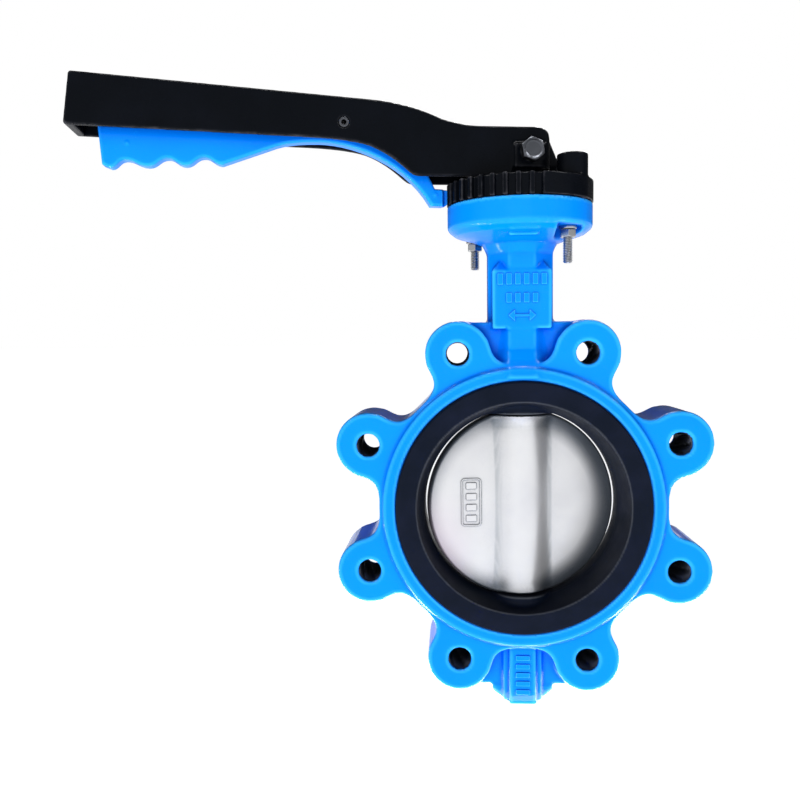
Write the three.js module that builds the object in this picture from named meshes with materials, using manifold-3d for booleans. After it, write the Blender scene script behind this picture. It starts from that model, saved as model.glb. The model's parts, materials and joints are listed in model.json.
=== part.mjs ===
// Lug-type butterfly valve, DN 125, with a notched-plate lever handle.
// Millimetres, +Z up. The origin is the centre of the bore. The pipe runs along Y,
// the stem stands on Z, and the shut lever points along -X.
import * as THREE from "three";
import { mergeVertices } from "three/addons/utils/BufferGeometryUtils.js";
import Module from "manifold-3d";

const wasm = await Module();
wasm.setup();

// ---------------------------------------------------------------- driving dimensions
const GAP = 0.3; // clearance between touching pieces
const FACE_TO_FACE = 56; // over the rubber faces, EN 558 series 20
const BOLT_CIRCLE_R = 105; // DN 125 PN 16: eight M16 holes on a 210 mm circle
const LUG_COUNT = 8;
const LUG_R = 20.3;
const LUG_HALF = 24; // half of the lug's thickness
const LUG_HOLE_R = 7; // minor bore of an M16 thread
const RING_R = 88; // outer edge of the raised ring round the liner
const RING_HALF = 26.5;
const DRUM_R = 90.5;
const RUBBER_R = 80; // outer edge of the liner's face
const RUBBER_LIP = 4.7; // thickness of the liner where it wraps over the face
const BODY_BORE_R = 72;
const BORE_R = 61.5; // liner's bore at the disc
const BORE_MOUTH_R = 66.5; // liner's bore at the faces
const DISC_R = 61.2;
const DISC_HUB_TOP = 58; // half height of the disc over its hub faces
const STEM_R = 8;
const STEM_BORE_R = 10.5;
const NECK_HALF = 20.5; // half width of the eight-sided neck
const NECK_FACET = 8.2; // half width of the neck's front facet
const FLANGE_TOP = 190.5;
const FRONT_SEAT = 174.6; // where the front nut and washer sit under the flange
const BACK_SEAT = 171.4; // the back pocket is not cut as deep
const FLANGE_R = 45.8;
const PLATE_BOTTOM = FLANGE_TOP + GAP;
const PLATE_FLOOR = 197;
const PLATE_TOP = 204;
const PLATE_R = 46.2;
const NOTCH_PITCH = 10; // degrees between two notches
const NOTCH_DEPTH = 3.4;
const NOTCH_WIDTH = 4.8;
const PLATE_BOLT_R = 3; // M6
const PLATE_BOLT_FLATS = 10;
const PLATE_NUT_FLATS = 9;
const PLATE_BOLT = { x: 27.8, y: -21.2 }; // front bolt, the back one is opposite, on a 70 mm circle
const PLATE_BOLT_END = 152;
const BOLT_POCKET_R = 7; // room round the head of the plate's back bolt
const STOP_POST = { x: 30.6, y: -20.6 }; // the lever's nose meets this post when the valve shuts
const STOP_POST_TOP = 218;
const STUD_TOP = 211; // the front stud is screwed into the stop post
const HANDLE_HALF = 16; // half width of the lever's channel
const HANDLE_WALL = 4;
const CHEEK_HALF = 18.4; // half width of the head, over its cheeks
const HEAD_TOP = 236.6;
const HEAD_END = 17; // how far the lever's head reaches past the stem
const HEAD_ROUND = 11;
const PIVOT = { x: -111.9, z: 237.4 };
const PIVOT_PIN_R = 3;
const LATCH_HALF = 5.3; // half of the latch's thickness
const TOOTH_TIP = -PLATE_R - 0.5; // the tooth stands just clear of the notches
const FINGER_GRIPS = [ // hollows along the latch's lower edge, and the humps after them
  { crest: { x: -242.7, z: 215.9 }, valley: { x: -229.3, z: 212.2 } },
  { crest: { x: -217.7, z: 217.1 }, valley: { x: -207.3, z: 212.9 } },
  { crest: { x: -196, z: 217.9 }, valley: { x: -185.4, z: 213.6 } },
];
const STEM_SQUARE = 13;
const SET_BOLT = { x: 2.3, z: 221.1 };
const SET_BOLT_FLATS = 13;
const BOTTOM_END = -128;
const OPENED_DEG = 10; // the lever stands one notch open in the modelled position
const ROOT_Z = 82; // neck, webs and boss start inside the drum at this height
const THROUGH = 30; // reach of a cut that goes right through the body along Y
const ROUND = 48; // sides of a large round shape
const SMALL = 24; // sides of a small round shape

// ---------------------------------------------------------------- building blocks
// A closed three.js geometry as a solid that can be joined and cut.
function solid(geometry) {
  const bare = new THREE.BufferGeometry();
  const source = geometry.index ? geometry.toNonIndexed() : geometry;
  bare.setAttribute("position", source.getAttribute("position"));
  const merged = mergeVertices(bare, 1e-4);
  const index = merged.index.array;
  const triangles = [];
  for (let i = 0; i < index.length; i += 3) {
    const [a, b, c] = [index[i], index[i + 1], index[i + 2]];
    if (a !== b && b !== c && c !== a) triangles.push(a, b, c);
  }
  return new wasm.Manifold(
    new wasm.Mesh({
      numProp: 3,
      vertProperties: merged.attributes.position.array,
      triVerts: new Uint32Array(triangles),
    }),
  );
}

function geometryOf(shape) {
  const mesh = shape.getMesh();
  const geometry = new THREE.BufferGeometry();
  geometry.setAttribute("position", new THREE.BufferAttribute(mesh.vertProperties, 3));
  geometry.setIndex(new THREE.BufferAttribute(mesh.triVerts, 1));
  geometry.computeVertexNormals();
  return geometry;
}

function box(x, y, z) {
  const geometry = new THREE.BoxGeometry(x[1] - x[0], y[1] - y[0], z[1] - z[0]);
  geometry.translate((x[0] + x[1]) / 2, (y[0] + y[1]) / 2, (z[0] + z[1]) / 2);
  return solid(geometry);
}

// Turned about Z. The profile runs [radius, z] from bottom to top, or closes on itself.
function turnedZ(profile, sides = ROUND) {
  const points = profile.map(([r, z]) => new THREE.Vector2(r, z));
  return solid(new THREE.LatheGeometry(points, sides).rotateX(Math.PI / 2));
}

// Turned about Y. The profile runs [radius, y] from front to back, or closes on itself.
function turnedY(profile, sides = ROUND) {
  const points = profile.map(([r, y]) => new THREE.Vector2(r, y));
  return solid(new THREE.LatheGeometry(points, sides));
}

function rodZ(radius, z0, z1, x = 0, y = 0, sides = SMALL) {
  const geometry = new THREE.CylinderGeometry(radius, radius, z1 - z0, sides);
  return solid(geometry.rotateX(Math.PI / 2).translate(x, y, (z0 + z1) / 2));
}

function rodY(radius, y0, y1, x = 0, z = 0, sides = SMALL) {
  const geometry = new THREE.CylinderGeometry(radius, radius, y1 - y0, sides);
  return solid(geometry.translate(x, (y0 + y1) / 2, z));
}

// A hexagonal prism along Z or Y, given across its flats.
function hexZ(flats, z0, z1, x = 0, y = 0) {
  return rodZ(flats / Math.sqrt(3), z0, z1, x, y, 6);
}

function hexY(flats, y0, y1, x = 0, z = 0) {
  return rodY(flats / Math.sqrt(3), y0, y1, x, z, 6);
}

function shapeOf(points) {
  return new THREE.Shape(points.map(([a, b]) => new THREE.Vector2(a, b)));
}

// An outline in the XZ plane, given thickness along Y.
function platesXZ(shape, y0, y1, steps = 8) {
  const options = { depth: y1 - y0, bevelEnabled: false, curveSegments: steps };
  const geometry = new THREE.ExtrudeGeometry(shape, options);
  return solid(geometry.rotateX(Math.PI / 2).translate(0, y1, 0));
}

// An outline in the XY plane, given height along Z.
function platesXY(shape, z0, z1, steps = 8) {
  const options = { depth: z1 - z0, bevelEnabled: false, curveSegments: steps };
  return solid(new THREE.ExtrudeGeometry(shape, options).translate(0, 0, z0));
}

function joined(parts) {
  return parts.reduce((sum, part) => sum.add(part));
}

function cut(shape, parts) {
  return parts.reduce((rest, part) => rest.subtract(part), shape);
}

function ringZ(inner, outer, z0, z1, sides = SMALL) {
  return turnedZ([[inner, z0], [outer, z0], [outer, z1], [inner, z1], [inner, z0]], sides);
}

const LUG_PITCH = (2 * Math.PI) / LUG_COUNT;
const lugAngles = Array.from({ length: LUG_COUNT }, (_, i) => (i + 0.5) * LUG_PITCH);

// ---------------------------------------------------------------- body
function drum() {
  const rebate = FACE_TO_FACE / 2 - RUBBER_LIP;
  return turnedY(
    [
      [BODY_BORE_R, -rebate],
      [RUBBER_R, -rebate],
      [RUBBER_R, -RING_HALF],
      [RING_R, -RING_HALF],
      [DRUM_R, -LUG_HALF],
      [DRUM_R, LUG_HALF],
      [RING_R, RING_HALF],
      [RUBBER_R, RING_HALF],
      [RUBBER_R, rebate],
      [BODY_BORE_R, rebate],
      [BODY_BORE_R, -rebate],
    ],
    64,
  );
}

function lugs() {
  const rootStart = RUBBER_R;
  return lugAngles.flatMap((angle) => {
    const [x, z] = [BOLT_CIRCLE_R * Math.cos(angle), BOLT_CIRCLE_R * Math.sin(angle)];
    const root = new THREE.BoxGeometry(BOLT_CIRCLE_R - rootStart, 2 * LUG_HALF, 1.8 * LUG_R);
    root.translate((BOLT_CIRCLE_R + rootStart) / 2, 0, 0).rotateY(-angle);
    return [rodY(LUG_R, -LUG_HALF, LUG_HALF, x, z, 32), solid(root)];
  });
}

// Webs tie the neck and the bottom boss to the lugs beside them.
function webs() {
  const lugX = BOLT_CIRCLE_R * Math.sin(LUG_PITCH / 2);
  const lugTop = BOLT_CIRCLE_R * Math.cos(LUG_PITCH / 2) + LUG_R - 0.4;
  const half = 15;
  return [
    box([-lugX, lugX], [-half, half], [ROOT_Z, lugTop]),
    box([-lugX, lugX], [-half, half], [-lugTop, -ROOT_Z]),
  ];
}

function neck() {
  const [a, b] = [NECK_HALF, NECK_FACET];
  const octagon = [[-b, -a], [b, -a], [a, -b], [a, b], [b, a], [-b, a], [-a, b], [-a, -b]];
  const padHalf = 18.5;
  const padSpan = [112.3, 148.4];
  return [
    platesXY(shapeOf(octagon), ROOT_Z, FLANGE_TOP - 20),
    box([-padHalf, padHalf], [-NECK_HALF, NECK_HALF], padSpan),
  ];
}

function nutSeat(side) {
  return side > 0 ? FRONT_SEAT : BACK_SEAT;
}

function topFlange() {
  const flange = turnedZ([
    [0, 160],
    [21, 162],
    [24, 166],
    [31, 168.6],
    [41, 170.6],
    [FLANGE_R, 175],
    [FLANGE_R, FLANGE_TOP],
    [0, FLANGE_TOP],
  ]);
  const pocketHalf = 8.2;
  const pocketBottom = 150;
  const past = 60;
  const pocket = (side) => {
    const x = side * PLATE_BOLT.x;
    const y = side * PLATE_BOLT.y;
    const out = side > 0 ? [-past, y] : [y, past];
    const span = [pocketBottom, nutSeat(side)];
    return rodZ(pocketHalf, ...span, x, y).add(box([x - pocketHalf, x + pocketHalf], out, span));
  };
  return cut(flange, [pocket(1), pocket(-1)]);
}

function bottomBoss() {
  const [side, foot, collarTop, chamferTop] = [19.5, 9.8, -116.5, -120.5];
  const collar = [
    [-side, collarTop],
    [-side, chamferTop],
    [-foot, BOTTOM_END],
    [foot, BOTTOM_END],
    [side, chamferTop],
    [side, collarTop],
  ];
  return [
    platesXZ(shapeOf(collar), -15, 15),
    box([-12.5, 12.5], [-17.5, 17.5], [BOTTOM_END + 3, -ROOT_Z]),
    box([-8.7, 8.7], [-19.5, 19.5], [BOTTOM_END, -ROOT_Z]),
  ];
}

function bodyCasting() {
  const blank = joined([drum(), ...lugs(), ...webs(), ...neck(), ...bottomBoss(), topFlange()]);
  const boltHoles = lugAngles.map((angle) =>
    rodY(LUG_HOLE_R, -THROUGH, THROUGH, BOLT_CIRCLE_R * Math.cos(angle), BOLT_CIRCLE_R * Math.sin(angle)),
  );
  const innerBore = rodY(BODY_BORE_R, -THROUGH, THROUGH, 0, 0, 64);
  const washerRecess = rodZ(14, 184, FLANGE_TOP + 5);
  const plugBore = rodZ(8.5, BOTTOM_END - 5, -100);
  const plateBolts = [1, -1].map((side) =>
    rodZ(PLATE_BOLT_R + 0.4, PLATE_BOLT_END, FLANGE_TOP + 5, side * PLATE_BOLT.x, side * PLATE_BOLT.y),
  );
  return cut(blank, [
    ...boltHoles,
    innerBore,
    rodZ(STEM_BORE_R, 0, FLANGE_TOP + 5),
    washerRecess,
    rodZ(STEM_BORE_R, -104, 0),
    plugBore,
    ...plateBolts,
  ]);
}

// ---------------------------------------------------------------- liner, disc and stems
function seatLiner() {
  const face = FACE_TO_FACE / 2;
  const lip = face - RUBBER_LIP + GAP;
  const ring = turnedY(
    [
      [BORE_R, -9],
      [BORE_MOUTH_R, -face],
      [RUBBER_R - GAP, -face],
      [RUBBER_R - GAP, -lip],
      [BODY_BORE_R - GAP, -lip],
      [BODY_BORE_R - GAP, lip],
      [RUBBER_R - GAP, lip],
      [RUBBER_R - GAP, face],
      [BORE_MOUTH_R, face],
      [BORE_R, 9],
      [BORE_R, -9],
    ],
    64,
  );
  const padTop = 68;
  const pads = [1, -1].map((side) => {
    const span = [side * (DISC_HUB_TOP + GAP), side * padTop].sort((a, b) => a - b);
    return rodZ(19.5, span[0], span[1], 0, 0, 32);
  });
  const sleeve = rodY(BODY_BORE_R - GAP, -18, 18, 0, 0, 64);
  const stemHole = rodZ(STEM_R + GAP, -80, 80);
  return cut(joined([ring, joined(pads).intersect(sleeve)]), [stemHole]);
}

function disc() {
  const lens = turnedY([
    [0, -9.2],
    [30, -8.4],
    [48, -7.1],
    [DISC_R - 1.2, -5.8],
    [DISC_R, -3],
    [DISC_R, 3],
    [DISC_R - 1.2, 5.8],
    [48, 7.1],
    [30, 8.4],
    [0, 9.2],
  ], 64);
  const spine = turnedZ([
    [0, -DISC_HUB_TOP],
    [16, -DISC_HUB_TOP],
    [15, 6 - DISC_HUB_TOP],
    [15, DISC_HUB_TOP - 6],
    [18.8, DISC_HUB_TOP],
    [0, DISC_HUB_TOP],
  ], 32);
  const ball = solid(new THREE.SphereGeometry(DISC_R, 48, 32).rotateX(Math.PI / 2));
  const slab = box([-80, 80], [-40, 40], [-DISC_HUB_TOP, DISC_HUB_TOP]);
  const socket = STEM_SQUARE / 2 + GAP;
  return cut(joined([lens, spine]).intersect(ball).intersect(slab), [
    rodZ(STEM_R + GAP, 34, 70),
    box([-socket, socket], [-socket, socket], [16, 40]),
    rodZ(STEM_R + GAP, -70, -26),
  ]);
}

function upperStem() {
  const key = STEM_SQUARE / 2;
  const groove = ringZ(STEM_R - 1, STEM_R + 2, 186.7, 188.6);
  return cut(
    joined([
      rodZ(STEM_R, 34.4, 199),
      box([-key, key], [-key, key], [17, 40]).intersect(rodZ(STEM_R + 0.6, 16, 41)),
      box([-key, key], [-key, key], [190, 233]).intersect(rodZ(STEM_R, 189, 234)),
    ]),
    [groove],
  );
}

function lowerStem() {
  const [bottom, top, chamfer] = [-103, -26.5, 1];
  const profile = [
    [0, bottom],
    [STEM_R - chamfer, bottom],
    [STEM_R, bottom + chamfer],
    [STEM_R, top - chamfer],
    [STEM_R - chamfer, top],
    [0, top],
  ];
  return turnedZ(profile, SMALL);
}

function bush(z0, z1) {
  return ringZ(STEM_R + GAP, STEM_BORE_R - GAP, z0, z1);
}

function sealRing(z) {
  const [middle, half] = [(STEM_R + STEM_BORE_R) / 2, (STEM_BORE_R - STEM_R) / 2 - 0.2];
  const geometry = new THREE.TorusGeometry(middle, half, 10, SMALL);
  return solid(geometry.translate(0, 0, z));
}

function stemCirclip() {
  const ring = ringZ(STEM_R - 0.7, 12, 187, 188.3);
  return cut(ring, [box([-2, 2], [0, 20], [180, 195])]);
}

function bottomPlug() {
  const plug = rodZ(8.2, BOTTOM_END + 0.4, -118.4);
  return cut(plug, [hexZ(8, BOTTOM_END - 1, -122.5)]);
}

// ---------------------------------------------------------------- notch plate and its bolts
// The notches lie where the latch's tooth stands from one notch short of shut to one past open.
function notches() {
  const count = 12;
  return Array.from({ length: count }, (_, i) => {
    const angle = Math.PI + THREE.MathUtils.degToRad((i - 1) * NOTCH_PITCH);
    const slot = new THREE.BoxGeometry(2 * NOTCH_DEPTH, NOTCH_WIDTH, 40);
    return solid(slot.translate(PLATE_R, 0, FLANGE_TOP).rotateZ(angle));
  });
}

function notchPlate() {
  const { x, y } = PLATE_BOLT;
  const dish = turnedZ([
    [11, PLATE_BOTTOM],
    [PLATE_R, PLATE_BOTTOM],
    [PLATE_R, PLATE_TOP],
    [38.5, PLATE_TOP],
    [38.5, PLATE_FLOOR],
    [11, PLATE_FLOOR],
    [11, PLATE_BOTTOM],
  ], 72);
  const stopPost = rodZ(9.4, PLATE_BOTTOM, STOP_POST_TOP, STOP_POST.x, STOP_POST.y, 32);
  return cut(joined([dish, stopPost]), [
    ...notches(),
    rodZ(PLATE_BOLT_R + GAP, 180, STUD_TOP + 1, x, y),
    rodZ(BOLT_POCKET_R, PLATE_FLOOR, 230, -x, -y),
    rodZ(PLATE_BOLT_R + 0.4, 180, 230, -x, -y),
  ]);
}

function plateStud() {
  return rodZ(PLATE_BOLT_R, PLATE_BOLT_END, STUD_TOP, PLATE_BOLT.x, PLATE_BOLT.y);
}

function plateBolt() {
  const [x, y] = [-PLATE_BOLT.x, -PLATE_BOLT.y];
  const seat = PLATE_FLOOR + GAP;
  return rodZ(PLATE_BOLT_R, PLATE_BOLT_END, seat + 1, x, y).add(hexZ(PLATE_BOLT_FLATS, seat, seat + 4, x, y));
}

function plateWasher(side) {
  const top = nutSeat(side) - GAP;
  const ring = ringZ(PLATE_BOLT_R + GAP, 5.6, top - 1.6, top);
  return ring.translate([side * PLATE_BOLT.x, side * PLATE_BOLT.y, 0]);
}

function plateNut(side) {
  const [x, y] = [side * PLATE_BOLT.x, side * PLATE_BOLT.y];
  const top = nutSeat(side) - 2 * GAP - 1.6;
  return hexZ(PLATE_NUT_FLATS, top - 4.9, top, x, y).subtract(rodZ(PLATE_BOLT_R + GAP, 100, 200, x, y));
}

// ---------------------------------------------------------------- lever, drawn in the shut position
function handleOutline(inset, floor) {
  const shape = new THREE.Shape();
  const top = HEAD_TOP - inset;
  if (floor) {
    shape.moveTo(-270.8, floor);
    shape.lineTo(-24, floor);
    shape.lineTo(-24, top);
  } else {
    shape.moveTo(-275.2, 233.7);
    shape.lineTo(-140, 228.6);
    shape.quadraticCurveTo(-110, 227.9, -97, 224);
    shape.quadraticCurveTo(-86.5, 220.3, -76.3, 211.9);
    shape.lineTo(-71.5, 207.9);
    shape.quadraticCurveTo(-69.5, 206.2, -66, 206);
    shape.lineTo(-8, 206);
    shape.lineTo(-8, 212);
    shape.lineTo(HEAD_END, 212);
    shape.lineTo(HEAD_END, top - HEAD_ROUND);
    shape.quadraticCurveTo(HEAD_END, top, HEAD_END - HEAD_ROUND, top);
  }
  shape.lineTo(-29, top);
  shape.quadraticCurveTo(-40, top + 0.3, -52, 240.4 - inset);
  shape.quadraticCurveTo(-72, 249.5 - inset, -96, 251.3 - inset);
  shape.lineTo(-271 + inset, 264.4 - inset);
  return shape;
}

function handle() {
  const rounding = 10;
  const plan = new THREE.Shape();
  plan.moveTo(-300, -20);
  plan.lineTo(HEAD_END - rounding, -20);
  plan.absarc(HEAD_END - rounding, rounding - CHEEK_HALF, rounding, -Math.PI / 2, 0, false);
  plan.absarc(HEAD_END - rounding, CHEEK_HALF - rounding, rounding, 0, Math.PI / 2, false);
  plan.lineTo(-300, 20);
  const shell = platesXZ(handleOutline(0, 0), -HANDLE_HALF, HANDLE_HALF);
  const hollowHalf = HANDLE_HALF - HANDLE_WALL;
  const hollow = platesXZ(handleOutline(HANDLE_WALL, 190), -hollowHalf, hollowHalf);
  const cheeks = box([-7, HEAD_END], [-CHEEK_HALF, CHEEK_HALF], [212, HEAD_TOP - HEAD_ROUND]);
  const hub = rodZ(15, 199, 214, 0, 0, 32);
  const nose = [[12, 207.5], [22.5, 208.5], [HEAD_END + 8, 216], [HEAD_END + 1.5, 231], [12, 231]];
  const stopNose = platesXZ(shapeOf(nose), -4.5, 4.5);
  const key = STEM_SQUARE / 2 + GAP;
  const head = joined([shell, cheeks]).intersect(platesXY(plan, 190, 280));
  const outside = joined([head.subtract(hollow), hub, stopNose]);
  return cut(outside, [
    box([-key, key], [-key, key], [190, 250]),
    rodY(4.3, -30, 0, SET_BOLT.x, SET_BOLT.z),
    rodY(PIVOT_PIN_R + GAP, -30, 30, PIVOT.x, PIVOT.z),
  ]);
}

function latchOutline() {
  const shape = new THREE.Shape();
  shape.moveTo(-258, 236);
  shape.lineTo(-256.2, 213);
  shape.lineTo(-251.6, 211.1);
  for (const { crest, valley } of FINGER_GRIPS) {
    const start = shape.currentPoint;
    const rise = 0.45 * (crest.x - start.x);
    const fall = 0.45 * (valley.x - crest.x);
    shape.bezierCurveTo(start.x + rise, start.y, crest.x - rise, crest.z, crest.x, crest.z);
    shape.bezierCurveTo(crest.x + fall, crest.z, valley.x - fall, valley.z, valley.x, valley.z);
  }
  shape.lineTo(-152, 225.2);
  shape.quadraticCurveTo(-143, 228, -127, 228);
  shape.bezierCurveTo(-105, 228, -73, 216, -57.5, 189.6);
  shape.lineTo(TOOTH_TIP - 2.3, 189.4);
  shape.lineTo(TOOTH_TIP, 191);
  shape.lineTo(TOOTH_TIP, 199.8);
  shape.lineTo(-55, 200.2);
  shape.lineTo(-59.8, 210);
  shape.quadraticCurveTo(-82, 243, -104, 244.5);
  shape.lineTo(-120, 244.5);
  shape.quadraticCurveTo(-128, 236, -140, 234);
  shape.lineTo(-170, 235);
  shape.closePath();
  return shape;
}

function latch() {
  const plate = platesXZ(latchOutline(), -LATCH_HALF, LATCH_HALF, 6);
  const hubHalf = HANDLE_HALF - HANDLE_WALL - 2 * GAP;
  const hub = rodY(7, -hubHalf, hubHalf, PIVOT.x, PIVOT.z);
  const toothSide = (side) => {
    const [wide, thin] = [side * 9, side * 1.7];
    const [start, end] = [TOOTH_TIP - 3.8, TOOTH_TIP - 2.3];
    const wedge = [[start, wide], [start, side * LATCH_HALF], [end, thin], [-40, thin], [-40, wide]];
    return platesXY(shapeOf(side > 0 ? wedge.reverse() : wedge), 180, PLATE_TOP);
  };
  const springPeg = rodZ(2.6, 230, 238.5, -150, 0, 16);
  return cut(joined([plate, hub, springPeg]), [
    toothSide(1),
    toothSide(-1),
    rodY(PIVOT_PIN_R + GAP, -20, 20, PIVOT.x, PIVOT.z),
  ]);
}

function pivotPin() {
  const pin = rodY(PIVOT_PIN_R, -15.8, 15.8, PIVOT.x, PIVOT.z);
  return pin.subtract(rodY(1.5, -20, 20, PIVOT.x, PIVOT.z, 16));
}

// The spring stands on the latch, round its peg, and pushes against the roof of the channel.
class Helix extends THREE.Curve {
  constructor(radius, turns, z0, z1, x) {
    super();
    Object.assign(this, { radius, turns, z0, z1, x });
  }
  getPoint(t, target = new THREE.Vector3()) {
    const angle = 2 * Math.PI * this.turns * t;
    return target.set(
      this.x + this.radius * Math.cos(angle),
      this.radius * Math.sin(angle),
      this.z0 + (this.z1 - this.z0) * t,
    );
  }
}

function latchSpring() {
  const wire = 0.7;
  const path = new Helix(4.4, 4, 235.4 + wire, 250 - wire, -150);
  const section = new THREE.Shape();
  section.absarc(0, 0, wire, 0, 2 * Math.PI, false);
  const options = { steps: 64, extrudePath: path, curveSegments: 6, bevelEnabled: false };
  return solid(new THREE.ExtrudeGeometry(section, options));
}

function setBolt() {
  const [x, z] = [SET_BOLT.x, SET_BOLT.z];
  return hexY(SET_BOLT_FLATS, -26.2, -20.8, x, z).add(rodY(4, -22, -STEM_SQUARE / 2 - GAP, x, z));
}

function setBoltWasher() {
  const washer = rodY(6.6, -20.5, -18.7, SET_BOLT.x, SET_BOLT.z);
  return washer.subtract(rodY(4.3, -30, -10, SET_BOLT.x, SET_BOLT.z));
}

// ---------------------------------------------------------------- the assembly
const finish = {
  blueEpoxy: new THREE.MeshStandardMaterial({ color: 0x0a8cff, roughness: 0.3, metalness: 0.0 }),
  blackPaint: new THREE.MeshStandardMaterial({ color: 0x0b0d12, roughness: 0.35, metalness: 0.0 }),
  rubber: new THREE.MeshStandardMaterial({ color: 0x12151d, roughness: 0.6, metalness: 0.0 }),
  satinSteel: new THREE.MeshStandardMaterial({ color: 0xd8d9dc, roughness: 0.3, metalness: 1.0 }),
  stemSteel: new THREE.MeshStandardMaterial({ color: 0x9a9ca0, roughness: 0.35, metalness: 1.0 }),
  zincSteel: new THREE.MeshStandardMaterial({ color: 0xb9bec4, roughness: 0.35, metalness: 1.0 }),
  bearing: new THREE.MeshStandardMaterial({ color: 0xa3906a, roughness: 0.5, metalness: 0.2 }),
};

const valve = new THREE.Group();
const rotor = new THREE.Group();
rotor.rotation.z = THREE.MathUtils.degToRad(OPENED_DEG);
valve.add(rotor);

function place(group, name, shape, material) {
  const mesh = new THREE.Mesh(geometryOf(shape), material);
  mesh.name = name;
  group.add(mesh);
}

place(valve, "body_casting", bodyCasting(), finish.blueEpoxy);
place(valve, "seat_liner", seatLiner(), finish.rubber);
place(valve, "upper_bush", bush(168, 183.5), finish.bearing);
place(valve, "middle_bush", bush(84, 104), finish.bearing);
place(valve, "bottom_bush", bush(-102, -82), finish.bearing);
place(valve, "stem_seal_upper", sealRing(164), finish.rubber);
place(valve, "stem_seal_lower", sealRing(108), finish.rubber);
place(valve, "thrust_washer", ringZ(STEM_R + GAP, 13.4, 184.3, 186.2), finish.bearing);
place(valve, "bottom_plug", bottomPlug(), finish.zincSteel);
place(valve, "plug_seal", ringZ(5, 8.2, -118.1, -116.3), finish.rubber);
place(valve, "notch_plate", notchPlate(), finish.blackPaint);
place(valve, "plate_stud_front", plateStud(), finish.zincSteel);
place(valve, "plate_bolt_back", plateBolt(), finish.zincSteel);
for (const [side, end] of [[1, "front"], [-1, "back"]]) {
  place(valve, `plate_washer_${end}`, plateWasher(side), finish.zincSteel);
  place(valve, `plate_nut_${end}`, plateNut(side), finish.zincSteel);
}
place(rotor, "disc", disc(), finish.satinSteel);
place(rotor, "upper_stem", upperStem(), finish.stemSteel);
place(rotor, "lower_stem", lowerStem(), finish.stemSteel);
place(rotor, "stem_circlip", stemCirclip(), finish.stemSteel);
place(rotor, "handle", handle(), finish.blackPaint);
place(rotor, "pivot_pin", pivotPin(), finish.stemSteel);
place(rotor, "latch_spring", latchSpring(), finish.zincSteel);
place(rotor, "set_bolt", setBolt(), finish.blackPaint);
place(rotor, "set_bolt_washer", setBoltWasher(), finish.blackPaint);
place(rotor, "latch", latch(), finish.blueEpoxy);

export default valve;
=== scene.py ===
"""Looks of a lug-type butterfly valve with a lever, built round its CAD frame.

Lengths inside the shape functions are millimetres; a mesh is turned into metres when it is made.
Cast and moulded pieces are distance fields: a function of x, y and z that is negative inside the
piece. Their meshes are nets laid on the field's zero level, so that fillets come out as geometry.
"""
import json
import math

import bpy
import numpy as np
from mathutils import Matrix, Vector
from numpy import hypot, maximum, minimum


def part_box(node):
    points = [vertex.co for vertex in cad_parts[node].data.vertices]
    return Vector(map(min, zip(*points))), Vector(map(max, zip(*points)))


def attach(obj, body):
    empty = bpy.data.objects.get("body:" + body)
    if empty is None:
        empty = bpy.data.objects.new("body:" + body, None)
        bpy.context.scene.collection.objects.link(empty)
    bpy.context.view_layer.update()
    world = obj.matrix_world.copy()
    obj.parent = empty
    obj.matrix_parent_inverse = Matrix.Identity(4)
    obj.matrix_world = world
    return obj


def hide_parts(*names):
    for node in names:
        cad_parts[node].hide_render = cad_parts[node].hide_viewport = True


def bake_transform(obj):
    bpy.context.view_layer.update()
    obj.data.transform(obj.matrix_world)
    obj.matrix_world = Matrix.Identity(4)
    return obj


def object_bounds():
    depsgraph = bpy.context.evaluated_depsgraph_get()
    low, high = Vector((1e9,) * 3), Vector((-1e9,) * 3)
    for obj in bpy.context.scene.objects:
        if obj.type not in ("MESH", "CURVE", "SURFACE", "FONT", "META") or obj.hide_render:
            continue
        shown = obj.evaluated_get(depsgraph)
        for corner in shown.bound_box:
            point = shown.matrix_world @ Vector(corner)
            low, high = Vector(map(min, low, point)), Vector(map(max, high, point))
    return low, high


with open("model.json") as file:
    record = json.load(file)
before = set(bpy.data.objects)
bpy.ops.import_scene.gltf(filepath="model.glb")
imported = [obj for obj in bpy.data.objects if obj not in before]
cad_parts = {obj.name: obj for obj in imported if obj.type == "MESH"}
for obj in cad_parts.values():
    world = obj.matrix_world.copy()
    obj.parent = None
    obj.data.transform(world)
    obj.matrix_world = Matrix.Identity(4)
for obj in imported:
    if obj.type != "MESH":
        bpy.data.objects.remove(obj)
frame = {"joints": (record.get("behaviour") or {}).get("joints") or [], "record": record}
cad_low, cad_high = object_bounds()

MM = 0.001
GAP = 0.3  # the room left between pieces that touch on a real valve


def box_mm(node):
    """Lowest and highest corner of a CAD node, in millimetres."""
    low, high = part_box(node)
    return np.array(low) / MM, np.array(high) / MM


def z_span(node):
    """Lowest and highest level of a CAD node, in millimetres."""
    low, high = box_mm(node)
    return low[2], high[2]


# ---- sizes taken from the frame
body_low, body_high = box_mm("body_casting")
liner_low, liner_high = box_mm("seat_liner")
plate_low, plate_high = box_mm("notch_plate")
stud_low, stud_high = box_mm("plate_stud_front")
joints = {joint["name"]: joint for joint in frame["joints"]}
mounts = {mount["name"]: mount for mount in frame["record"]["mounts"]}
latch_axis = joints["latch_squeeze"]["axis"]
latch_pivot = np.array(joints["latch_squeeze"]["pos_m"]) / MM

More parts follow.
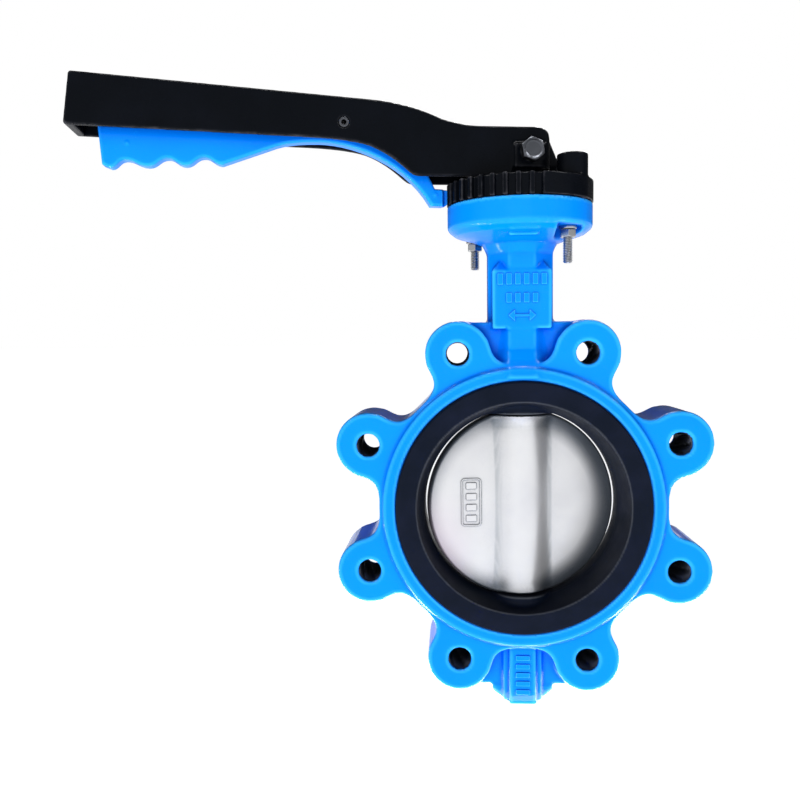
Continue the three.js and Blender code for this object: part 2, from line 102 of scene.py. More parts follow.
OPENED = math.atan2(-latch_axis[0], latch_axis[1])  # the lever stands this far open
FACE = mounts["pipe_face_back"]["pos_m"][1] / MM
LUG_HALF = mounts["lug_face_back"]["pos_m"][1] / MM
RUBBER_R = liner_high[0] + GAP
FLANGE_TOP = plate_low[2] - GAP
FLANGE_R = body_high[1]
PLATE_R = plate_high[1]
POST_TOP = plate_high[2]
BOSS_END = body_low[2]
STEM_BOTTOM, STEM_TOP = z_span("upper_stem")
PIVOT_X = -math.hypot(latch_pivot[0], latch_pivot[1])
PIVOT_Z = latch_pivot[2]
STUD_X, STUD_Y = (stud_low[:2] + stud_high[:2]) / 2
FRONT_SEAT = z_span("plate_washer_front")[1] + GAP
BACK_SEAT = z_span("plate_washer_back")[1] + GAP

# ---- sizes of the design
LUG_PITCH = math.radians(45)
BOLT_CIRCLE_R = 105.0
LUG_R = body_high[0] - BOLT_CIRCLE_R * math.cos(LUG_PITCH / 2)
DRUM_R = 90.5
RING_R = 88.0
RING_HALF = 26.5
BODY_BORE_R = 72.0
BORE_R = 61.5
BORE_MOUTH_R = 66.5
DISC_R = 61.2
HUB_TOP = 58.0
NECK_HALF = 20.5
NECK_FACET = 8.2
PLATE_FLOOR = 197.0
PLATE_TOP = 204.0
HANDLE_HALF = 16.0
HANDLE_WALL = 3.0
HEAD_TOP = 236.6
HEAD_END = 17.0
HEAD_ROUND = 11.0
LATCH_HALF = 5.3
STEM_R = 8.0
BOSS_PLATE_HALF = 19.8
PLATE_BOLT_R = 3.0
BOLT_HOLE_R = 3.4
PIVOT_HOLE_R = 3.3
SET_BOLT_HOLE_R = 4.3
REBATE = 4.7
LUG_HOLE_R = 7.1
LUG_MOUTH_R = 8.15
STEM_BORE_R = 10.5
STEM_SQUARE = 13.0
SET_BOLT_X, SET_BOLT_Z = 2.3, 221.1
CHEEK_HALF = 18.4
STOP_X, STOP_Y, STOP_R = 30.6, -20.6, 9.4
TOOTH_TIP = -PLATE_R - 0.5
SPRING_X = -150


# ---- distance fields
def blend(a, b, reach):
    """The join of two fields, with a fillet where they meet."""
    near = maximum(reach - np.abs(a - b), 0)
    return minimum(a, b) - near * near / (4 * reach)


def common(a, b, reach):
    """What two fields share, with the edge between them rounded."""
    return -blend(-a, -b, reach)


def carve(a, b, reach):
    """The first field without the second, with the edge rounded."""
    return common(a, -b, reach)


def slab(plan, across, half, edge):
    """A flat outline given thickness, with its edges rounded to a radius."""
    out = plan + edge
    up = np.abs(across) - half + edge
    return minimum(maximum(out, up), 0) + hypot(maximum(out, 0), maximum(up, 0)) - edge


def between(plan, along, start, end, edge):
    """A flat outline that runs from one level to another."""
    return slab(plan, along - (start + end) / 2, (end - start) / 2, edge)


def rectangle(u, v, u_span, v_span, corner):
    """A rectangle with round corners, given by its spans."""
    half_u, half_v = (u_span[1] - u_span[0]) / 2, (v_span[1] - v_span[0]) / 2
    a = np.abs(u - sum(u_span) / 2) - half_u + corner
    b = np.abs(v - sum(v_span) / 2) - half_v + corner
    return minimum(maximum(a, b), 0) + hypot(maximum(a, 0), maximum(b, 0)) - corner


def outline(u, v, points):
    """Distance to a closed outline."""
    nearest = np.inf
    inside = False
    for (a0, b0), (a1, b1) in zip(points, points[1:] + points[:1]):
        run, rise = a1 - a0, b1 - b0
        du, dv = u - a0, v - b0
        share = np.clip((du * run + dv * rise) / (run * run + rise * rise), 0, 1)
        nearest = minimum(nearest, (du - share * run) ** 2 + (dv - share * rise) ** 2)
        if rise:
            inside = inside ^ (((b0 <= v) != (b1 <= v)) & (du < dv * run / rise))
    return np.where(inside, -1, 1) * np.sqrt(nearest)


def inset(points, amount):
    """The outline moved inwards, for an outline that runs anticlockwise."""
    moved = []
    for before, here, after in zip(points[-1:] + points[:-1], points, points[1:] + points[:1]):
        in_dir = np.subtract(here, before) / np.linalg.norm(np.subtract(here, before))
        out_dir = np.subtract(after, here) / np.linalg.norm(np.subtract(after, here))
        in_normal = np.array([-in_dir[1], in_dir[0]])
        out_normal = np.array([-out_dir[1], out_dir[0]])
        share = amount / (1 + in_normal @ out_normal)
        moved.append(tuple(np.array(here) + share * (in_normal + out_normal)))
    return moved


def rounded(u, v, points, corner):
    """An anticlockwise outline with its outer corners rounded."""
    return outline(u, v, inset(points, corner)) - corner


def curve(points, *controls, steps=8):
    """Goes on from an outline's last point along a Bezier curve."""
    controls = (points[-1], *controls)
    order = len(controls) - 1
    shares = np.arange(1, steps + 1) / steps
    weights = [math.comb(order, i) * shares**i * (1 - shares) ** (order - i) for i in range(order + 1)]
    points += [tuple(p) for p in sum(w[:, None] * np.array(c, float) for w, c in zip(weights, controls))]


def hexagon(x, y):
    """How far out a point lies on a hexagon with two flats across X."""
    return maximum(np.abs(x), np.abs(x) / 2 + np.abs(y) * math.cos(math.radians(30)))


def from_bolt(x, y, side):
    """Distance from the axis of the plate's front (1) or back (-1) fastener."""
    return hypot(x - side * STUD_X, y - side * STUD_Y)


def from_pivot(x, z):
    return hypot(x - PIVOT_X, z - PIVOT_Z)


# ---- meshes
CORNERS = [(i, j, k) for i in (0, 1) for j in (0, 1) for k in (0, 1)]
EDGES = [(a, b) for a in range(8) for b in range(a)
         if np.abs(np.subtract(CORNERS[a], CORNERS[b])).sum() == 1]


def net(values):
    """Points, in grid steps, and quads of the net round the negative part of a grid."""
    inside = values < 0
    cells_shape = [n - 1 for n in values.shape]
    filled = np.zeros(cells_shape, np.int8)
    for i, j, k in CORNERS:
        filled += inside[i : i + cells_shape[0], j : j + cells_shape[1], k : k + cells_shape[2]]
    cells = np.argwhere((filled > 0) & (filled < 8))
    number = np.full(cells_shape, -1, np.int64)
    number[tuple(cells.T)] = np.arange(len(cells))
    at = [values[tuple((cells + corner).T)] for corner in CORNERS]
    total, hits = np.zeros((len(cells), 3)), np.zeros((len(cells), 1))
    for a, b in EDGES:
        crossed = ((at[a] < 0) != (at[b] < 0))[:, None]
        share = at[a] / np.where(at[a] == at[b], 1, at[a] - at[b])
        point = np.array(CORNERS[a]) + share[:, None] * np.subtract(CORNERS[b], CORNERS[a])
        total += np.where(crossed, point, 0)
        hits += crossed
    quads = []
    for axis in range(3):
        along, b, c = np.roll(np.eye(3, dtype=int), -axis, axis=0)
        low = inside[tuple(slice(0, n - s) for n, s in zip(inside.shape, along))]
        high = inside[tuple(slice(s, None) for s in along)]
        for leaving in (True, False):
            edges = np.argwhere(low & ~high if leaving else ~low & high)
            ring = [number[tuple((edges - d).T)] for d in (b + c, c, 0 * b, b)]
            quads.append(np.stack(ring if leaving else ring[::-1], axis=1))
    return cells + total / hits, np.concatenate(quads)


def slope_of(field, points, reach):
    """The field's slope at points, from its values a short reach ahead and behind."""
    slope = np.empty_like(points)
    for axis in range(3):
        ahead, behind = points.copy(), points.copy()
        ahead[:, axis] += reach
        behind[:, axis] -= reach
        slope[:, axis] = (field(*ahead.T) - field(*behind.T)) / (2 * reach)
    return slope


def field_shape(field, low, high, step):
    """Points in millimetres, quads and point normals of a field inside a box."""
    margin = 2.5 * step
    axes = [np.arange(a - margin, b + margin, step) for a, b in zip(low, high)]
    grid = np.meshgrid(*axes, indexing="ij", sparse=True)
    values = np.broadcast_to(field(*grid), [len(axis) for axis in axes])
    points, quads = net(values)
    points = points * step + [axis[0] for axis in axes]
    reach = 0.15 * step
    for _ in range(3):
        slope = slope_of(field, points, reach)
        steepness = maximum((slope**2).sum(axis=1), 0.3)
        shift = np.clip(field(*points.T) / steepness, -0.4 * step, 0.4 * step)
        points = points - shift[:, None] * slope
    normals = slope_of(field, points, 0.4 * step)
    normals /= maximum(np.linalg.norm(normals, axis=1), 1e-6)[:, None]
    return points, quads, normals


def turned(points, angle):
    """Points turned about the stem."""
    c, s = math.cos(angle), math.sin(angle)
    return points @ np.array([[c, s, 0], [-s, c, 0], [0, 0, 1]])


def make_piece(name, points, faces, body, slot, replaced=(), finish=None, normals=None, sharp=None):
    """A shown piece from points in millimetres, riding on a body; its finish is its slot's, if not named."""
    finish = finish or slot
    mesh = bpy.data.meshes.new(name)
    mesh.from_pydata((points * MM).tolist(), [], faces)
    mesh.validate()
    mesh.shade_smooth()
    if normals is not None:
        mesh.normals_split_custom_set_from_vertices(normals.tolist())
    if sharp is not None:
        mesh.set_sharp_from_angle(angle=math.radians(sharp))
    piece = bpy.data.objects.new(name, mesh)
    bpy.context.scene.collection.objects.link(piece)
    piece.data.materials.append(FINISHES[finish])
    if finish in ("blue_epoxy", "blue_latch", "black_paint", "black_steel"):
        painted.objects.link(piece)
    if body:
        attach(piece, body)
    if replaced:
        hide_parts(*replaced)
    return piece


def cast_piece(name, field, low, high, step, body, slot, replaced=(), angle=0.0):
    """A piece from a distance field inside a box, turned about the stem by an angle."""
    points, quads, normals = field_shape(field, low, high, step)
    normals = turned(normals, angle)
    make_piece(name, turned(points, angle), quads.tolist(), body, slot, replaced, normals=normals)


# ---- the casting
def lug_place(x, z):
    """How far out and how far beside its lug's centre line a point lies."""
    reach = hypot(x, z)
    turn = np.arctan2(z, x) % LUG_PITCH - LUG_PITCH / 2
    return reach, reach * np.cos(turn), reach * np.sin(turn)


def drum_field(x, y, z):
    """The ring with its eight lugs, and the narrower ring that stands proud of them."""
    root_half = 0.9 * LUG_R
    reach, out, side = lug_place(x, z)
    root = maximum(np.abs(side) - root_half, out - BOLT_CIRCLE_R)
    lug = blend(root, hypot(out - BOLT_CIRCLE_R, side) - LUG_R, 4)
    casting = slab(blend(reach - DRUM_R, lug, 14), y, LUG_HALF, 1.7)
    ring = slab(reach - RING_R, y, RING_HALF, 1.3)
    return blend(casting, ring, 2.2)


def web_field(x, y, z):
    """The thinner wall between the two lugs at the top and the two at the bottom."""
    half_depth = 15
    top = BOLT_CIRCLE_R * math.cos(LUG_PITCH / 2) + LUG_R - 0.6
    half_width = BOLT_CIRCLE_R * math.sin(LUG_PITCH / 2)
    return slab(rectangle(x, z, (-half_width, half_width), (-top, top), 2), y, half_depth, 1.5)


def neck_field(x, y, z):
    """An eight-sided neck that flares at its foot, with a square pad for the cast marks."""
    foot_top, flare = 99.5, 0.42
    pad_half, pad_bottom, pad_top, roof = 18.4, 112.3, 148.4, 1.24
    wide = np.abs(x)
    deep = np.abs(y) - flare * maximum(foot_top - z, 0)
    square = common(wide - NECK_HALF, deep - NECK_HALF, 0.8)
    corner = (wide + deep - NECK_HALF - NECK_FACET) / math.sqrt(2)
    neck = between(common(square, corner, 0.8), z, 82, FLANGE_TOP - 14, 1)
    pad_deep = NECK_HALF + 0.3
    pad = rectangle(x, y, (-pad_half, pad_half), (-pad_deep, pad_deep), 0.7)
    pad = between(pad, z, pad_bottom, 165, 0.7)
    steep = math.hypot(1, roof)
    for inward in (pad_deep - np.abs(y), pad_half - wide):
        pad = common(pad, (z - pad_top - roof * inward) / steep, 0.5)
    return blend(neck, pad, 0.6)


def flange_field(x, y, z):
    """The round top flange, with two low steps under its middle."""
    reach = hypot(x, y)
    section = [(0, 158), (21, 161.5), (24, 166), (31, 168.6), (41, 171.6), (44.8, 174.6), (FLANGE_R, 176.6),
               (FLANGE_R, FLANGE_TOP), (0, FLANGE_TOP)]
    flange = rounded(reach, z, section, 1.2)
    for deep, bottom in ((35, 168.4), (41, 171.2)):
        step = between(rectangle(x, y, (-8.8, 8.8), (-deep, deep), 1), z, bottom, 178, 0.6)
        flange = blend(flange, step, 0.6)
    return flange


def nut_pockets(x, y, z):
    """Room under the flange for the two nuts, open outwards."""
    half, bottom, far_out = 8.2, 130, 80
    pockets = np.inf
    for side, seat in ((1, FRONT_SEAT), (-1, BACK_SEAT)):
        bolt_x, bolt_y = side * STUD_X, side * STUD_Y
        run = (-far_out, bolt_y) if side > 0 else (bolt_y, far_out)
        way_out = rectangle(x, y, (bolt_x - half, bolt_x + half), run, 0.5)
        plan = minimum(from_bolt(x, y, side) - half, way_out)
        pockets = minimum(pockets, between(plan, z, bottom, seat, 1.0))
    return pockets


def boss_field(x, y, z):
    """The boss under the ring: a collar, a column and the plate that carries the marks."""
    foot_half, collar_half, collar_low, collar_top = 9.8, 19.5, -120.5, -116.5
    collar_side = [(-foot_half, BOSS_END), (foot_half, BOSS_END), (collar_half, collar_low),
                   (collar_half, collar_top), (-collar_half, collar_top), (-collar_half, collar_low)]
    collar = slab(rounded(x, z, collar_side, 1.4), y, 15.5, 1.5)
    column = slab(rectangle(x, z, (-12.5, 12.5), (BOSS_END + 1.5, -80), 1.5), y, 17.5, 1.5)
    plate = slab(rectangle(x, z, (-8.7, 8.7), (BOSS_END, -86), 1.0), y, BOSS_PLATE_HALF, 0.8)
    return blend(blend(collar, column, 1.2), plate, 0.8)


def body_field(x, y, z):
    """The whole casting, with its holes, its bore and the rebate that holds the rubber."""
    reach, out, beside = lug_place(x, z)
    around_stem = hypot(x, y)
    top = carve(flange_field(x, y, z), nut_pockets(x, y, z), 1.4)
    upright = blend(neck_field(x, y, z), top, 3)
    casting = blend(drum_field(x, y, z), web_field(x, y, z), 2.4)
    casting = blend(casting, upright, 2.6)
    casting = blend(casting, boss_field(x, y, z), 2.0)
    hole = hypot(out - BOLT_CIRCLE_R, beside)
    casting = carve(casting, hole - LUG_HOLE_R, 1.6)
    casting = carve(casting, common(hole - LUG_MOUTH_R, np.abs(y) - LUG_HALF + 2.4, 0.2), 0.2)
    casting = carve(casting, reach - BODY_BORE_R, 0.4)
    rebate = maximum(reach - RUBBER_R, FACE - REBATE - np.abs(y))
    casting = carve(casting, rebate, 1.2)
    stem_bore = maximum(around_stem - STEM_BORE_R, -104 - z)
    clip_room = maximum(around_stem - 14, 184 - z)
    plug_hole = maximum(around_stem - 8.5, z + 100)
    for hollow, edge in ((stem_bore, 0.4), (clip_room, 0.6), (plug_hole, 0.8)):
        casting = carve(casting, hollow, edge)
    for side in (1, -1):
        casting = carve(casting, maximum(from_bolt(x, y, side) - BOLT_HOLE_R, 140 - z), 0.4)
    return casting


# ---- liner, disc
def liner_field(x, y, z):
    """The rubber: a sleeve in the bore that wraps over both faces, thicker round the stem."""
    reach, deep = hypot(x, z), np.abs(y)
    pad_r = 19.5
    lip = FACE - REBATE + GAP
    section = [(BORE_R, 0), (BODY_BORE_R - GAP, 0), (BODY_BORE_R - GAP, lip), (RUBBER_R - GAP, lip),
               (RUBBER_R - GAP, FACE), (BORE_MOUTH_R, FACE), (BORE_R + 0.3, 9), (BORE_R, 6)]
    mirrored = section + [(r, -w) for r, w in section[:1:-1]]
    mirrored = [(r, w) for r, w in mirrored if w != 0]
    ring = rounded(reach, y, mirrored, 0.9)
    pad = common(hypot(x, y) - pad_r, HUB_TOP + GAP - np.abs(z), 1.0)
    pad = common(pad, maximum(reach - BODY_BORE_R + 1, deep - pad_r), 1.0)
    liner = blend(ring, pad, 2.5)
    return carve(liner, hypot(x, y) - STEM_R - GAP, 0.6)


def lens_half(reach):
    """Half the disc's thickness at a distance from its middle."""
    rim, swell = 5.6, 3.6
    return rim + swell * (1 - np.clip(reach / DISC_R, 0, 1) ** 2)


def disc_field(x, y, z):
    """A lens with a spine round the stem, which flares at both ends."""
    reach, deep = hypot(x, z), np.abs(y)
    lens = slab(reach - DISC_R + 0.2, deep / lens_half(reach) * 5, 5, 2.0)
    around_stem = hypot(x, y * 1.02)
    flare = 4.2 * np.clip((z - HUB_TOP + 9) / 9, 0, 1) ** 2
    flare = flare + 1.5 * np.clip((-z - HUB_TOP + 7) / 7, 0, 1) ** 2
    spine = common(around_stem - 14.6 - flare, np.abs(z) - HUB_TOP, 1.8)
    disc = blend(lens, spine, 6)
    ball = np.sqrt(reach * reach + y * y) - DISC_R
    disc = common(disc, ball, 0.8)
    disc = common(disc, np.abs(z) - HUB_TOP, 1.8)
    return carve(disc, maximum(hypot(x, y) - STEM_R - GAP, 26 - np.abs(z)), 0.6)


# ---- notch plate
def plate_field(x, y, z):
    """A dished plate with notches along part of its rim and a tall post."""
    reach = hypot(x, y)
    bottom = plate_low[2]
    hole_r, dish_r, head_room = 11, 38.5, 7
    section = [(hole_r, bottom), (PLATE_R, bottom), (PLATE_R, PLATE_TOP), (dish_r, PLATE_TOP),
               (dish_r, PLATE_FLOOR), (hole_r, PLATE_FLOOR)]
    dish = rounded(reach, z, section, 0.7)
    post = between(hypot(x - STOP_X, y - STOP_Y) - STOP_R, z, bottom, POST_TOP, 1.2)
    plate = blend(dish, post, 1.5)
    pitch, first, last = math.radians(10), math.radians(170), math.radians(280)
    angle = np.clip(np.round((np.arctan2(y, x) % (2 * math.pi)) / pitch) * pitch, first, last)
    out = x * np.cos(angle) + y * np.sin(angle)
    side = -x * np.sin(angle) + y * np.cos(angle)
    notch_deep, notch_half = 3.4, 2.4
    notch = rectangle(out, side, (PLATE_R - notch_deep, PLATE_R + 9), (-notch_half, notch_half), 0.7)
    plate = carve(plate, notch, 1.0)
    plate = carve(plate, maximum(from_bolt(x, y, -1) - head_room, PLATE_FLOOR - z), 0.5)
    front_hole = maximum(from_bolt(x, y, 1) - PLATE_BOLT_R - GAP, z - stud_high[2] - 1)
    return carve(plate, minimum(from_bolt(x, y, -1) - BOLT_HOLE_R, front_hole), 0.4)


# ---- lever, in the shut position
def handle_side(cut_in, floor):
    """The lever's side outline, anticlockwise; with a floor, the outline of its hollow."""
    top = HEAD_TOP - cut_in
    if floor is None:
        points = [(-275.2, 233.7), (-140, 228.6)]
        curve(points, (-110, 227.9), (-97, 224))
        curve(points, (-86.5, 220.3), (-76.3, 211.9))
        points += [(-71.5, 207.9)]
        curve(points, (-69.5, 206.2), (-66, 206), steps=3)
        points += [(-8, 206), (-8, 212), (HEAD_END, 212), (HEAD_END, top - HEAD_ROUND)]
        curve(points, (HEAD_END, top), (HEAD_END - HEAD_ROUND, top))
    else:
        points = [(-274.8 + cut_in, floor), (-24, floor), (-24, top)]
    points += [(-29, top)]
    curve(points, (-40, top + 0.3), (-52, 240.4 - cut_in))
    curve(points, (-72, 249.5 - cut_in), (-96, 251.3 - cut_in))
    return points + [(-271 + cut_in, 264.4 - cut_in)]


HANDLE_OUTSIDE = handle_side(0, None)
HANDLE_INSIDE = handle_side(HANDLE_WALL, 190)


def handle_field(x, y, z):
    """A channel that is open below, a solid head with a nose, and a hub on the stem."""
    deep = np.abs(y)
    corner = 10
    shell = slab(rounded(x, z, HANDLE_OUTSIDE, 1.8), y, HANDLE_HALF, 1.6)
    cheeks = slab(rectangle(x, z, (-7, HEAD_END), (211.7, HEAD_TOP - HEAD_ROUND), 1.0), y, CHEEK_HALF, 0.9)
    head = blend(shell, cheeks, 3.5)
    corner_x, corner_y = x - HEAD_END + corner, deep - CHEEK_HALF + corner
    in_corner = (corner_x > 0) & (corner_y > 0)
    plan = np.where(in_corner, hypot(corner_x, corner_y), maximum(corner_x, corner_y)) - corner
    head = common(head, plan, 0.6)
    hollow = slab(outline(x, z, HANDLE_INSIDE), y, HANDLE_HALF - HANDLE_WALL, 0.1)
    head = carve(head, hollow, 1.0)
    hub = between(hypot(x, y) - 15, z, 199, 216, 1.0)
    head = blend(head, hub, 2.0)
    nose_side = [(12, 207.5), (22.5, 208.5), (HEAD_END + 8, 216), (HEAD_END + 1.5, 231), (12, 231)]
    nose = slab(rounded(x, z, nose_side, 1.2), y, 4.5, 1.0)
    head = blend(head, nose, 1.5)
    half_key = STEM_SQUARE / 2 + GAP
    head = carve(head, rectangle(x, y, (-half_key, half_key), (-half_key, half_key), 0.4), 0.8)
    bolt_hole = hypot(x - SET_BOLT_X, z - SET_BOLT_Z) - SET_BOLT_HOLE_R
    head = carve(head, maximum(bolt_hole, y), 0.6)
    return carve(head, from_pivot(x, z) - PIVOT_HOLE_R, 0.8)


# ---- latch, in the shut position
FINGER_GRIPS = [  # the highest point of each hollow, and the hump after it
    ((-242.7, 215.9), (-229.3, 212.2)),
    ((-217.7, 217.1), (-207.3, 212.9)),
    ((-196, 217.9), (-185.4, 213.6)),
]


def latch_side():
    """The latch's side outline, anticlockwise from its upper left corner."""
    points = [(-258, 236), (-256.2, 213), (-251.6, 211.1)]
    for crest, valley in FINGER_GRIPS:
        start = points[-1]
        rise, fall = 0.45 * (crest[0] - start[0]), 0.45 * (valley[0] - crest[0])
        curve(points, (start[0] + rise, start[1]), (crest[0] - rise, crest[1]), crest)
        curve(points, (crest[0] + fall, crest[1]), (valley[0] - fall, valley[1]), valley)
    points += [(-152, 225.2)]
    curve(points, (-143, 228), (-127, 228), steps=5)
    curve(points, (-105, 228), (-73, 216), (-57.5, 189.6), steps=14)
    points += [(TOOTH_TIP - 2.3, 189.4), (TOOTH_TIP, 191), (TOOTH_TIP, 199.8), (-55, 200.2), (-59.8, 210)]
    curve(points, (-82, 243), (-104, 244.5), steps=12)
    points += [(-120, 244.5)]
    curve(points, (-128, 236), (-140, 234), steps=6)
    return points + [(-170, 235)]


LATCH_SIDE = latch_side()


def latch_field(x, y, z):
    """The squeeze latch, with its hub on the pin, the spring's peg, the tooth and two round spots."""
    deep = np.abs(y)
    latch = slab(outline(x, z, LATCH_SIDE), y, LATCH_HALF, 1.9)
    hub_half = HANDLE_HALF - HANDLE_WALL - 2 * GAP
    latch = blend(latch, slab(from_pivot(x, z) - 7, y, hub_half, 0.8), 2)
    peg = between(hypot(x - SPRING_X, y) - 2.6, z, 228, 238.5, 0.8)
    latch = blend(latch, peg, 1.5)
    tooth = TOOTH_TIP - 3.8
    slope = 0.9 * (LATCH_HALF - deep) - 2.2 * (x - tooth)
    latch = carve(latch, maximum(tooth - x, maximum(1.7 - deep, slope)), 0.5)
    for dot_x, dot_z in ((-241, 225.5), (-55, 196.2)):
        dot = hypot(x - dot_x, z - dot_z)
        latch = blend(latch, np.sqrt(dot * dot + ((deep - LATCH_HALF + 1.2) * 1.4) ** 2) - 2.2, 0.6)
    return carve(latch, from_pivot(x, z) - PIVOT_HOLE_R, 0.8)


# ---- threads, nuts and turned pieces
def full_turn(sides):
    return np.arange(sides) * 2 * math.pi / sides


def rings(reach, levels, angles):
    """Points at a reach from the Z axis, at levels and angles."""
    across = reach * np.cos(angles)
    return np.stack([across, reach * np.sin(angles), levels + 0 * across], axis=-1)


def threaded_rows(radius, pitch, start, end, inner=False, sides=28, per_turn=8):
    """Rings of points on a thread's surface, from one end to the other."""
    depth = 0.58 * pitch
    root = radius - depth
    levels = np.linspace(start, end, max(4, int((end - start) / pitch * per_turn)))
    angles = full_turn(sides)
    phase = (levels[:, None] / pitch - angles / (2 * math.pi)) % 1
    ridge = np.clip(1.25 * (1 - np.abs(2 * phase - 1)) - 0.1, 0, 1)
    from_end = minimum(levels - start, end - levels)[:, None]
    if inner:
        reach = maximum(radius - depth * ridge, radius + 0.1 - from_end)
    else:
        reach = minimum(root + depth * ridge, root - 0.3 + from_end)
    return rings(reach, levels[:, None], angles)


def loft(rows, capped=True):
    """Quads between rings of points; the first and last rings are closed with a fan."""
    count, sides = rows.shape[:2]
    points = rows.reshape(-1, 3)
    here = np.arange(count * sides).reshape(count, sides)
    after = np.roll(here, -1, axis=1)
    if not capped:
        over, over_after = np.roll(here, -1, axis=0), np.roll(after, -1, axis=0)
        return points, np.stack([here, after, over_after, over], axis=-1).reshape(-1, 4).tolist()
    faces = np.stack([here[:-1], after[:-1], after[1:], here[1:]], axis=-1).reshape(-1, 4).tolist()
    points = np.concatenate([points, rows[0].mean(axis=0)[None], rows[-1].mean(axis=0)[None]])
    bottom, top = count * sides, count * sides + 1
    faces += [(bottom, int(b), int(a)) for a, b in zip(here[0], after[0])]
    faces += [(top, int(a), int(b)) for a, b in zip(here[-1], after[-1])]
    return points, faces


def lathe_rows(profile, sides):
    profile = np.array(profile, float)
    return rings(profile[:, :1], profile[:, 1:], full_turn(sides))


def softened(profile, amount):
    """A closed profile with each corner cut by a small two-step round."""
    soft = []
    for before, here, after in zip(profile[-1:] + profile[:-1], profile, profile[1:] + profile[:1]):
        here = np.array(here, float)
        back, ahead = np.array(before) - here, np.array(after) - here
        reach_back = min(amount, np.linalg.norm(back) / 3)
        reach_ahead = min(amount, np.linalg.norm(ahead) / 3)
        a = here + back / np.linalg.norm(back) * reach_back
        b = here + ahead / np.linalg.norm(ahead) * reach_ahead
        soft += [tuple(a), tuple(0.25 * a + 0.5 * here + 0.25 * b), tuple(b)]
    return soft


def tube_shape(inner, outer, low, high, corner, sides=64):
    """A turned ring with a rectangular section."""
    profile = softened([(inner, low), (outer, low), (outer, high), (inner, high)], corner)
    return loft(lathe_rows(profile, sides), capped=False)


def joined(*shapes):
    """Several shapes as one."""
    points, faces, offset = [], [], 0
    for shape_points, shape_faces in shapes:
        points.append(np.asarray(shape_points))
        faces += [tuple(int(i) + offset for i in face) for face in shape_faces]
        offset += len(shape_points)
    return np.concatenate(points), faces


def hex_field(flats, height, hole=0.0, dish=0.0):
    """A nut, or a bolt head if there is no hole, from z 0 to its height, with its corners chamfered."""
    chamfer_slope, dish_rise = math.sqrt(3), 1.2

    def field(x, y, z):
        reach = hypot(x, y)
        head = between(hexagon(x, y) - flats / 2, z, 0, height, 0.25)
        to_end = height / 2 - np.abs(z - height / 2)
        bottom_flat = 0.0 if hole else 2.0 * (z < height / 2)
        head = common(head, 0.5 * (reach - 0.48 * flats - bottom_flat - chamfer_slope * to_end), 0.3)
        if dish:
            from_dish = hypot(maximum(reach - 0.3 * flats, 0), z - height - dish_rise)
            head = carve(head, from_dish - dish_rise - dish, 0.3)
        return carve(head, reach - hole, 0.5) if hole else head
    return field


def placed(points, origin, axis="z"):
    """Points made along +Z, turned to run along an axis and moved."""
    if axis == "-y":
        points = np.stack([points[:, 0], -points[:, 2], points[:, 1]], axis=1)
    return points + np.array(origin)


def quads_of(field, low, high, step):
    """A field's shape as points and quads alone."""
    points, quads, _ = field_shape(field, low, high, step)
    return points, quads.tolist()


def hex_shape(flats, height, hole=0.0, dish=0.0):
    """A nut or bolt head as a mesh; its box leaves room for the corners."""
    half = 0.6 * flats
    return quads_of(hex_field(flats, height, hole, dish), (-half, -half, 0), (half, half, height), 0.32)


def thread_shape(radius, pitch, start, end, plain_end):
    """A threaded rod that goes on as a plain one."""
    rows = threaded_rows(radius, pitch, start, end)
    bevel = 0.4
    profile = [(radius, end + bevel), (radius, plain_end - bevel), (radius - bevel, plain_end)]
    return loft(np.concatenate([rows, lathe_rows(profile, rows.shape[1])]))


def square_ended_rows(levels, radius, half):
    """Rings of a round bar; a ring with a half width is cut to a square."""
    angles = full_turn(64)
    reach = np.full(64, radius)
    if half:
        reach = minimum(reach, half / maximum(np.abs(np.cos(angles)), np.abs(np.sin(angles))))
    return [rings(reach, level, angles) for level in levels]


def upper_stem_shape():
    """From the square tongue in the disc to the square head under the lever's roof."""
    half = STEM_SQUARE / 2
    tongue_top, groove_low, groove_high, head_bottom = 33.6, 186.7, 188.6, 199
    stretches = [((STEM_BOTTOM, ), STEM_R - 1.2, half - 0.8),
                 ((STEM_BOTTOM + 0.8, tongue_top), STEM_R + 0.6, half),
                 ((tongue_top + 0.8, groove_low), STEM_R, 0),
                 ((groove_low + 0.1, groove_high - 0.1), STEM_R - 1, 0),
                 ((groove_high, head_bottom - 0.6), STEM_R, 0),
                 ((head_bottom, STEM_TOP - 1), STEM_R, half),
                 ((STEM_TOP, ), STEM_R - 1.2, half - 0.6)]
    return loft(np.array([row for stretch in stretches for row in square_ended_rows(*stretch)]))


def circlip_shape():
    """An open ring with an eye at each end."""
    low, high = 187, 188.3

    def field(x, y, z):
        ring = maximum(hypot(x, y) - 11.2, 7.4 - hypot(x, y - 0.3))
        from_eye = hypot(np.abs(x) - 3.3, y - 10.6)
        open_end = rectangle(x, y, (-1.9, 1.9), (0, 20), 0.2)
        plan = carve(blend(ring, from_eye - 1.9, 0.6), open_end, 0.3)
        return between(carve(plan, from_eye - 0.9, 0.2), z, low, high, 0.2)
    return quads_of(field, (-12, -12, low), (12, 13, high), 0.32)


def plug_shape():
    """A round plug with a hexagon socket in its lower end."""
    low, high = box_mm("bottom_plug")
    socket_half, socket_top = 4, -122.5

    def field(x, y, z):
        plug = between(hypot(x, y) - high[0], z, low[2], high[2], 0.6)
        return carve(plug, maximum(hexagon(x, y) - socket_half, z - socket_top), 0.3)
    return quads_of(field, low, high, 0.4)


def spring_shape(radius, wire, turns, low, high):
    """A compression spring with closed end turns."""
    shares = np.linspace(0, 1, 40 * turns + 1)[:, None]
    climb = np.clip((shares * turns - 0.6) / (turns - 1.2), 0, 1)
    around = 2 * math.pi * turns * shares
    level = low + wire + (high - low - 2 * wire) * climb
    angles = full_turn(10)
    points, faces = loft(rings(radius + wire * np.cos(angles), level + wire * np.sin(angles), around))
    return points, [face[::-1] for face in faces]


